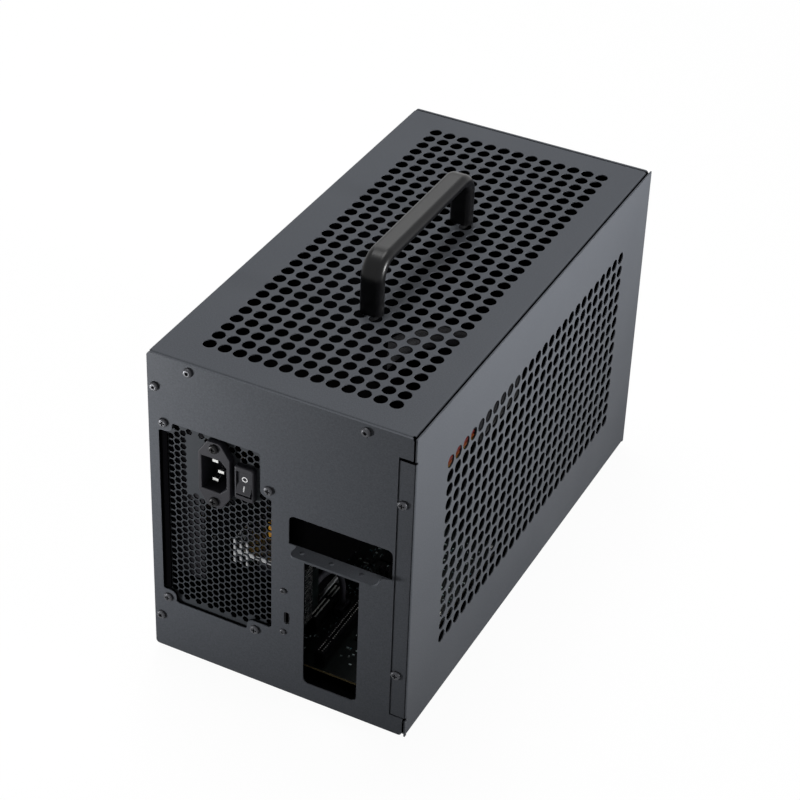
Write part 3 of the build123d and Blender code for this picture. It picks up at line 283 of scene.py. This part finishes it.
white_ink, tree, place = finish_of("white_pad_print_ink")
wear_width = 0.0006
wear = add(tree, "ShaderNodeTexNoise", {"Vector": place, "Scale": 1 / wear_width, "Detail": 3.0})
shade = add(tree, "ShaderNodeMix", {
    "Factor": wear, "A": linear("#cfd0d2"), "B": linear("#ffffff"),
}, data_type="RGBA")
ink = add(tree, "ShaderNodeBsdfPrincipled", {
    "Base Color": shade, "Roughness": 0.45, "Specular IOR Level": 0.3,
})
add(tree, "ShaderNodeOutputMaterial", {"Surface": ink})

# The facets meet in a ridge in front of the pivot. At rest the upper one is upright, and the lower one
# leans out by the rocker's whole travel.
rocker_joint = next(joint for joint in frame["joints"] if joint["name"] == "rocker_tilt")
pivot = np.array(rocker_joint["pos_m"])
travel = radians(rocker_joint["range_deg"][1])
ridge_reach = 0.0025
ridge = pivot + ridge_reach * np.array((0.0, -cos(travel / 2), sin(travel / 2)))
facet_out = np.array((0.0, -cos(travel), sin(travel)))
facet_down = np.array((0.0, -sin(travel), -cos(travel)))
ink_height = 0.00004

ring_radii = np.array((0.00125, 0.00195))[:, None]
ring_rise = 0.0028
ring_steps = 32
ring_angle = np.linspace(0, 2 * np.pi, ring_steps + 1)
ring_x, ring_z = ring_radii * np.cos(ring_angle), ring_radii * np.sin(ring_angle)
ring = np.stack((ring_x, np.zeros_like(ring_x), ring_z), axis=-1)
off_points = (ring + ridge + (0.0, -ink_height, ring_rise))[None]
sheet_of("rocker_off_mark", off_points, white_ink, "rocker")

bar_half_width = 0.0004
bar_bottom, bar_top = 0.0055, 0.0017
bar_sides = np.array((-bar_half_width, bar_half_width))[None, :, None] * np.array((1.0, 0.0, 0.0))
bar_ends = np.array((bar_bottom, bar_top))[:, None, None] * facet_down
on_points = (bar_sides + bar_ends + ridge + ink_height * facet_out)[None]
sheet_of("rocker_on_mark", on_points, white_ink, "rocker")

# Blades, bracket and guard
# Stamped brass or steel under bright nickel: the inlet's blades, the data port's bracket,
# the fan's wire guard and the board screws. Rolling leaves faint streaks along the blades.
nickel, tree, place = finish_of("bright_nickel_plating")
rolled_width = 0.0006
rolled_stretch = (1.0, 0.12, 1.0)
streak = add(tree, "ShaderNodeMapping", {"Vector": place, "Scale": rolled_stretch})
rolled = add(tree, "ShaderNodeTexNoise", {"Vector": streak, "Scale": 1 / rolled_width, "Detail": 3.0})
shade = add(tree, "ShaderNodeMix", {
    "Factor": rolled, "A": linear("#b9bab8"), "B": linear("#e0e0dd"),
}, data_type="RGBA")
matt = add(tree, "ShaderNodeMapRange", {
    "Value": rolled, "From Min": noise_low, "From Max": noise_high, "To Min": 0.18, "To Max": 0.32,
})
plating = add(tree, "ShaderNodeBsdfPrincipled", {"Base Color": shade, "Metallic": 1.0, "Roughness": matt})
add(tree, "ShaderNodeOutputMaterial", {"Surface": plating})
dress(nickel, "inlet_pins", "port_bracket", "fan_grille", "board_screws")

# Data port
# A seamless pressed steel shell around a contact tongue, on a board that a bracket holds behind the panel.
# It is plated in dark nickel, with lighter patches where plugs have rubbed it.
dark_nickel, tree, place = finish_of("dark_nickel_plating")
rub_width = 0.0012
rub = add(tree, "ShaderNodeTexNoise", {"Vector": place, "Scale": 1 / rub_width, "Detail": 4.0})
shade = add(tree, "ShaderNodeMix", {
    "Factor": rub, "A": linear("#141416"), "B": linear("#3a3b3e"),
}, data_type="RGBA")
plating = add(tree, "ShaderNodeBsdfPrincipled", {"Base Color": shade, "Metallic": 0.8, "Roughness": 0.3})
add(tree, "ShaderNodeOutputMaterial", {"Surface": plating})
dress(dark_nickel, "port_shell")

# Circuit boards
# Glass laminate with etched copper under a green solder mask, where tracks show as slightly lighter lines.
# They run about 1.3 mm apart, wider than real ones, so that they still show in a picture.
patch_width = 0.018
track_pitch, track_width = 0.0013, 0.00055
for finish, mask_colour, track_colour, boards in (
    ("black_green_solder_mask", "#040707", "#0c1615", ("dock_board", "port_board")),
    ("green_solder_mask", "#0c2a16", "#17452a", ("supply_board",)),
):
    laminate, tree, place = finish_of(finish)
    axes = add(tree, "ShaderNodeSeparateXYZ", {"Vector": place}).node.outputs
    patch = add(tree, "ShaderNodeTexVoronoi", {"Vector": place, "Scale": 1 / patch_width}, "Color")
    chance = add(tree, "ShaderNodeSeparateColor", {"Color": patch}, "Red")
    turned = add(tree, "ShaderNodeMath", {0: chance, 1: 0.5}, operation="GREATER_THAN")
    across = add(tree, "ShaderNodeMix", {"Factor": turned, "A": axes["X"], "B": axes["Y"]})
    across = add(tree, "ShaderNodeMath", {0: across, 1: track_pitch}, operation="MODULO")
    across = add(tree, "ShaderNodeMath", {0: across}, operation="ABSOLUTE")
    track = add(tree, "ShaderNodeMath", {0: across, 1: track_width}, operation="LESS_THAN")
    shade = add(tree, "ShaderNodeMix", {
        "Factor": track, "A": linear(mask_colour), "B": linear(track_colour),
    }, data_type="RGBA")
    bump = add(tree, "ShaderNodeBump", {"Height": track, "Strength": 0.2, "Distance": 0.00005})
    mask = add(tree, "ShaderNodeBsdfPrincipled", {
        "Base Color": shade, "Roughness": 0.34, "Specular IOR Level": 0.2, "Normal": bump,
    })
    add(tree, "ShaderNodeOutputMaterial", {"Surface": mask})
    dress(laminate, *boards)

# Cut edge of the dock board
# The board is routed from a larger panel, and the bare glass laminate shows tan along the cut.
# It is drawn as a ribbon round the four sides, a few hundredths of a millimetre proud of them.
bare_glass, tree, place = finish_of("bare_glass_laminate")
glass_width = 0.0008
glass = add(tree, "ShaderNodeTexNoise", {"Vector": place, "Scale": 1 / glass_width, "Detail": 3.0})
shade = add(tree, "ShaderNodeMix", {
    "Factor": glass, "A": linear("#bfa874"), "B": linear("#e8d8aa"),
}, data_type="RGBA")
edge = add(tree, "ShaderNodeBsdfPrincipled", {
    "Base Color": shade, "Roughness": 0.6, "Specular IOR Level": 0.3,
})
add(tree, "ShaderNodeOutputMaterial", {"Surface": edge})
board_low, board_high = (np.array(corner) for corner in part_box("dock_board"))
ribbon_height = 0.00004
turns = np.array(((-1, -1), (1, -1), (1, 1), (-1, 1), (-1, -1)))
board_middle = (board_low + board_high)[:2] / 2
board_half = (board_high - board_low)[:2] / 2 + ribbon_height
ribbon = np.empty((1, 2, len(turns), 3))
ribbon[..., :2] = board_middle + turns * board_half
ribbon[..., 2] = np.array((board_low[2], board_high[2]))[:, None]
sheet_of("dock_board_cut_edge", ribbon, bare_glass, "case")

# Small parts on the dock board
# Ceramic capacitors, resistors and pads, about 1 to 2 mm long, soldered flat in loose rows.
# Their pale ends and tinned pads are what shows of the board in the dark of the case.


def caps(middles, sizes):
    """Low flat-topped bumps, each a 4 by 4 grid round its middle.

    The inner square is the top, at the full height, and the rim round it flares down to the seat.
    """
    seat_half, top_half = 0.54, 0.5
    steps = np.array((-seat_half, -top_half, top_half, seat_half))
    top = np.array((0.0, 1.0, 1.0, 0.0))
    grid = np.empty((len(middles), 4, 4, 3))
    grid[..., 0] = middles[:, 0, None, None] + sizes[:, 0, None, None] * steps[None, None, :]
    grid[..., 1] = middles[:, 1, None, None] + sizes[:, 1, None, None] * steps[None, :, None]
    grid[..., 2] = middles[:, 2, None, None] + sizes[:, 2, None, None] * np.outer(top, top)
    return grid


ceramic, tree, place = finish_of("tinned_ceramic_parts")
batch_width = 0.0035
batch = add(tree, "ShaderNodeTexVoronoi", {"Vector": place, "Scale": 1 / batch_width}, "Color")
pick = add(tree, "ShaderNodeSeparateColor", {"Color": batch}, "Red")
shade = add(tree, "ShaderNodeMix", {
    "Factor": pick, "A": linear("#3f6b76"), "B": linear("#eefaf8"),
}, data_type="RGBA")
solder = add(tree, "ShaderNodeBsdfPrincipled", {
    "Base Color": shade, "Metallic": 0.3, "Roughness": 0.35, "Specular IOR Level": 0.3,
})
add(tree, "ShaderNodeOutputMaterial", {"Surface": solder})

dice = np.random.default_rng(7)
tries = 620
field_low, field_high = (0.004, 0.012), (0.102, 0.164)
row_pitch = 0.0022
clearance = 0.0025
part_length, part_width = 0.0016, 0.0008
least_scale, most_scale = 0.7, 1.15
least_height, most_height = 0.0003, 0.0008
spots = dice.uniform(field_low, field_high, (tries, 2)) + board_low[:2]
spots = np.round(spots / row_pitch) * row_pitch
free = np.ones(len(spots), bool)
for taller in (
    "card_slot", "short_slot", "slot_latch", "controller_heatsink", "main_socket", "board_capacitors",
):
    low, high = (np.array(corner)[:2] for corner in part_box(taller))
    free &= ((spots < low - clearance) | (spots > high + clearance)).any(1)
spots = np.unique(spots[free], axis=0)
lying = dice.random(len(spots)) < 0.5
footprints = np.where(lying[:, None], (part_length, part_width), (part_width, part_length))
footprints = footprints * dice.uniform(least_scale, most_scale, (len(spots), 1))
part_sizes = np.column_stack((footprints, dice.uniform(least_height, most_height, len(spots))))
seats = np.column_stack((spots, np.full(len(spots), board_high[2])))
sheet_of("dock_board_small_parts", caps(seats, part_sizes), ceramic, "case")

# Slots and chips
# Moulded from black plastic filled with glass fibre, and soldered to the boards by their legs.
# It is smoother than the nylon outside, and in the dark of the case only its edges show.
slot_plastic, tree, place = finish_of("glass_filled_black_plastic")
fibre_width = 0.0012
fibre = add(tree, "ShaderNodeTexNoise", {"Vector": place, "Scale": 1 / fibre_width, "Detail": 3.0})
shade = add(tree, "ShaderNodeMix", {
    "Factor": fibre, "A": linear("#050506"), "B": linear("#0d0d0f"),
}, data_type="RGBA")
matt = add(tree, "ShaderNodeMapRange", {
    "Value": fibre, "From Min": noise_low, "From Max": noise_high, "To Min": 0.3, "To Max": 0.42,
})
plastic = add(tree, "ShaderNodeBsdfPrincipled", {
    "Base Color": shade, "Roughness": matt, "Specular IOR Level": 0.1,
})
add(tree, "ShaderNodeOutputMaterial", {"Surface": plastic})
dress(slot_plastic, "card_slot", "short_slot", "slot_latch", "board_chips")

# Contacts of the slots
# Sprung tongues stamped from tinned bronze, whose bright tips show on both sides of the groove.
# In the long slot every second one is drawn, so that single tips still show in a picture.
tinned, tree, place = finish_of("tinned_bronze_contacts")
smear_width = 0.001
smear = add(tree, "ShaderNodeTexNoise", {"Vector": place, "Scale": 1 / smear_width, "Detail": 3.0})
shade = add(tree, "ShaderNodeMix", {
    "Factor": smear, "A": linear("#dcdcd8"), "B": linear("#fbfbf8"),
}, data_type="RGBA")
tongue = add(tree, "ShaderNodeBsdfPrincipled", {"Base Color": shade, "Metallic": 0.2, "Roughness": 0.35})
add(tree, "ShaderNodeOutputMaterial", {"Surface": tongue})
row_start, row_end = 0.0025, 0.002
key_half = 0.0016
groove_offset = 0.0014
tip_width, tip_height = 0.0007, 0.0002
for slot_name, key_place, pitch, tip_reach in (
    ("card_slot", 0.0145, 0.002, 0.0006),
    ("short_slot", 0.0235, 0.001, 0.0009),
):
    low, high = (np.array(corner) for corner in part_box(slot_name))
    row = np.arange(low[1] + row_start, high[1] - row_end, pitch)
    row = row[np.abs(row - low[1] - key_place) > key_half]
    for side, ending in ((-1, "_left_tips"), (1, "_right_tips")):
        tip_x = (low[0] + high[0]) / 2 + side * groove_offset
        tips = np.column_stack((np.full(len(row), tip_x), row, np.full(len(row), high[2])))
        tip_sizes = np.tile((tip_reach, tip_width, tip_height), (len(row), 1))
        sheet_of(slot_name + ending, caps(tips, tip_sizes), tinned, "case")

# Spacers
# Hexagonal and round posts turned from brass bar and screwed in under the boards.
# The rings left by the tool catch the light; they are drawn 1.3 mm apart, coarser than real ones, to show.
brass, tree, place = finish_of("turned_brass")
# A wave pattern of scale one repeats after this length.
wave_length = 2 * np.pi / 20
tool_pitch = 0.001257
tool_rings = add(tree, "ShaderNodeTexWave", {
    "Vector": place, "Scale": wave_length / tool_pitch,
}, "Fac", bands_direction="Z")
shade = add(tree, "ShaderNodeMix", {
    "Factor": tool_rings, "A": linear("#a8833f"), "B": linear("#c9a35a"),
}, data_type="RGBA")
metal = add(tree, "ShaderNodeBsdfPrincipled", {"Base Color": shade, "Metallic": 1.0, "Roughness": 0.28})
add(tree, "ShaderNodeOutputMaterial", {"Surface": metal})
dress(brass, "supply_board_posts", "board_standoffs")

# Heatsinks
# Aluminium combs, extruded and sawn to length, fixed to the boards at the parts that they cool.
# They are left bare, and fine lines from the die run along them.
aluminium, tree, place = finish_of("extruded_aluminium")
die_width = 0.0006
die_stretch = (1.0, 0.02, 1.0)
streak = add(tree, "ShaderNodeMapping", {"Vector": place, "Scale": die_stretch})
die_lines = add(tree, "ShaderNodeTexNoise", {"Vector": streak, "Scale": 1 / die_width, "Detail": 3.0})
shade = add(tree, "ShaderNodeMix", {
    "Factor": die_lines, "A": linear("#a8aaac"), "B": linear("#e0e1e3"),
}, data_type="RGBA")
matt = add(tree, "ShaderNodeMapRange", {
    "Value": die_lines, "From Min": noise_low, "From Max": noise_high, "To Min": 0.3, "To Max": 0.45,
})
metal = add(tree, "ShaderNodeBsdfPrincipled", {"Base Color": shade, "Metallic": 1.0, "Roughness": matt})
add(tree, "ShaderNodeOutputMaterial", {"Surface": metal})
dress(aluminium, "supply_heatsinks", "controller_heatsink")

# Transformers
# Wound coils wrapped in orange-yellow polyester tape and soldered to the supply's board.
# The turns of tape show as faint bands 4 mm wide.
tape, tree, place = finish_of("polyester_winding_tape")
tape_width = 0.004
bands = add(tree, "ShaderNodeTexWave", {
    "Vector": place, "Scale": wave_length / tape_width,
}, "Fac", bands_direction="X")
shade = add(tree, "ShaderNodeMix", {
    "Factor": bands, "A": linear("#e59a14"), "B": linear("#ffbe30"),
}, data_type="RGBA")
film = add(tree, "ShaderNodeBsdfPrincipled", {"Base Color": shade, "Roughness": 0.3})
add(tree, "ShaderNodeOutputMaterial", {"Surface": film})
dress(tape, "supply_transformers")

# Capacitors
# Aluminium cans in a shrunk plastic sleeve, standing on the boards by their soldered legs.
# The sleeve is dark, with a slight gloss and small wrinkles.
can_sleeve, tree, place = finish_of("shrunk_can_sleeve")
wrinkle_width = 0.003
wrinkle = add(tree, "ShaderNodeTexNoise", {"Vector": place, "Scale": 1 / wrinkle_width, "Detail": 2.0})
shade = add(tree, "ShaderNodeMix", {
    "Factor": wrinkle, "A": linear("#0c0d12"), "B": linear("#171920"),
}, data_type="RGBA")
bump = add(tree, "ShaderNodeBump", {"Height": wrinkle, "Strength": 0.1, "Distance": 0.0002})
film = add(tree, "ShaderNodeBsdfPrincipled", {
    "Base Color": shade, "Roughness": 0.3, "Specular IOR Level": 0.2, "Normal": bump,
})
add(tree, "ShaderNodeOutputMaterial", {"Surface": film})
dress(can_sleeve, "supply_capacitors", "board_capacitors")

# Wires
# Stranded copper in soft coloured insulation, led from the supply to the plugs.
# The lay of the strands shows through the insulation as a faint wave.
lay_width = 0.005
# The colours are drawn darker than the insulation's own, as painted shade of the dark inside of the case.
for colour, dark, light in (
    ("yellow", "#6a5008", "#86660c"),
    ("orange", "#5c2a0a", "#74360e"),
    ("red", "#4a100e", "#5e1613"),
    ("black", "#0a0a0b", "#131315"),
):
    insulation, tree, place = finish_of(colour + "_wire_insulation")
    lay = add(tree, "ShaderNodeTexNoise", {"Vector": place, "Scale": 1 / lay_width, "Detail": 2.0})
    shade = add(tree, "ShaderNodeMix", {
        "Factor": lay, "A": linear(dark), "B": linear(light),
    }, data_type="RGBA")
    bump = add(tree, "ShaderNodeBump", {"Height": lay, "Strength": 0.1, "Distance": 0.0003})
    jacket = add(tree, "ShaderNodeBsdfPrincipled", {
        "Base Color": shade, "Roughness": 0.42, "Specular IOR Level": 0.2, "Normal": bump,
    })
    add(tree, "ShaderNodeOutputMaterial", {"Surface": jacket})
    dress(insulation, "main_wires_" + colour, "card_wires_" + colour)

# Card lead's sleeve
# A tube braided from black polyester threads and pushed over the eight wires.
# The threads cross slantwise in two shades of dull black, drawn 1.2 mm wide, coarser than real ones, to show.
braid, tree, place = finish_of("braided_polyester_sleeve")
thread_width = 0.0012
thread_slant = (radians(45), radians(35), radians(45))
slanted = add(tree, "ShaderNodeMapping", {"Vector": place, "Rotation": thread_slant})
threads = add(tree, "ShaderNodeTexChecker", {"Vector": slanted, "Scale": 1 / thread_width}, "Fac")
shade = add(tree, "ShaderNodeMix", {
    "Factor": threads, "A": linear("#0a0a0b"), "B": linear("#1c1c20"),
}, data_type="RGBA")
bump = add(tree, "ShaderNodeBump", {"Height": threads, "Strength": 0.5, "Distance": 0.0003})
weave = add(tree, "ShaderNodeBsdfPrincipled", {
    "Base Color": shade, "Roughness": 0.6, "Specular IOR Level": 0.2, "Normal": bump,
})
add(tree, "ShaderNodeOutputMaterial", {"Surface": weave})
dress(braid, "card_sleeve")

# Studio
# White paper under and behind the object. It shows white to the camera and in reflections,
# and keeps a faint shadow where the object stands.


def shown(tree):
    """One for rays of the camera, of reflections and through glass, which show the paper; else nought."""
    rays = add(tree, "ShaderNodeLightPath", {}).node.outputs
    seen = add(tree, "ShaderNodeMath", {
        0: rays["Is Camera Ray"], 1: rays["Is Glossy Ray"],
    }, operation="MAXIMUM")
    return add(tree, "ShaderNodeMath", {0: seen, 1: rays["Is Transmission Ray"]}, operation="MAXIMUM")


floor_half = 6.0
floor_corners = [(x * floor_half, y * floor_half, 0.0) for x, y in ((-1, -1), (1, -1), (1, 1), (-1, 1))]
floor_mesh = bpy.data.meshes.new("studio_floor")
floor_mesh.from_pydata(floor_corners, [], [(0, 1, 2, 3)])
floor = bpy.data.objects.new("studio_floor", floor_mesh)
bpy.context.scene.collection.objects.link(floor)
paper, tree, place = finish_of("white_paper")
most_white, paper_glow = 0.8, 1.2
white_share = add(tree, "ShaderNodeMath", {0: shown(tree), 1: most_white}, operation="MULTIPLY")
dull = add(tree, "ShaderNodeBsdfDiffuse", {"Color": linear("#959595")})
white = add(tree, "ShaderNodeEmission", {"Color": linear("#ffffff"), "Strength": paper_glow})
mixed = add(tree, "ShaderNodeMixShader", {0: white_share, 1: dull, 2: white})
add(tree, "ShaderNodeOutputMaterial", {"Surface": mixed})
floor.data.materials.append(paper)

world = bpy.data.worlds.new("studio_world")
bpy.context.scene.world = world
world.use_nodes = True
tree = world.node_tree
tree.nodes.clear()
sky_fill = 0.07
strength = add(tree, "ShaderNodeMapRange", {"Value": shown(tree), "To Min": sky_fill, "To Max": 1.0})
sky = add(tree, "ShaderNodeBackground", {"Color": linear("#ffffff"), "Strength": strength})
add(tree, "ShaderNodeOutputWorld", {"Surface": sky})

# Lamps
# Soft boxes above, behind and to the right light the lid and the vented side, and a low one the rear panel.
# Grids in front of the side boxes narrow their beams, so that the light falls off across a face.
for name, spot, target, box_size, beam, power in (
    ("soft_box_above", (-0.35, 0.22, 2.1), (0.0, 0.05, 0.23), (1.0, 0.8), 180.0, 22.0),
    ("soft_box_behind", (-1.0, 1.5, 1.7), (0.0, 0.05, 0.23), (1.2, 0.9), 180.0, 8.0),
    ("soft_box_right", (1.3, 0.06, 0.37), (0.09, 0.06, 0.64), (0.3, 0.3), 70.0, 6.0),
    ("soft_box_left", (-0.33, -0.44, 0.02), (-0.085, -0.175, 0.28), (0.1, 0.1), 108.0, 1.1),
):
    lamp = bpy.data.lights.new(name, "AREA")
    lamp.shape = "RECTANGLE"
    lamp.size, lamp.size_y = box_size
    lamp.energy = power
    lamp.spread = radians(beam)
    soft_box = bpy.data.objects.new(name, lamp)
    bpy.context.scene.collection.objects.link(soft_box)
    soft_box.location = spot
    soft_box.rotation_euler = (Vector(target) - Vector(spot)).to_track_quat("-Z", "Y").to_euler()

# Camera
# A long lens above the right rear edge, high enough to see the lid, with its frame shifted down.
# Its place comes from the supply's standard screw pattern and the corners of the case.
view = bpy.data.cameras.new("photo_view")
view.lens = 100.57
view.sensor_width = 36.0
view.shift_y = -0.125
view.clip_end = 20.0
camera = bpy.data.objects.new("photo_view", view)
bpy.context.scene.collection.objects.link(camera)
camera.location = (0.5276, -1.0999, 0.9904)
camera.rotation_euler = (radians(57.084), radians(-1.837), radians(27.188))
bpy.context.scene.camera = camera
bpy.context.scene.view_settings.view_transform = "Standard"
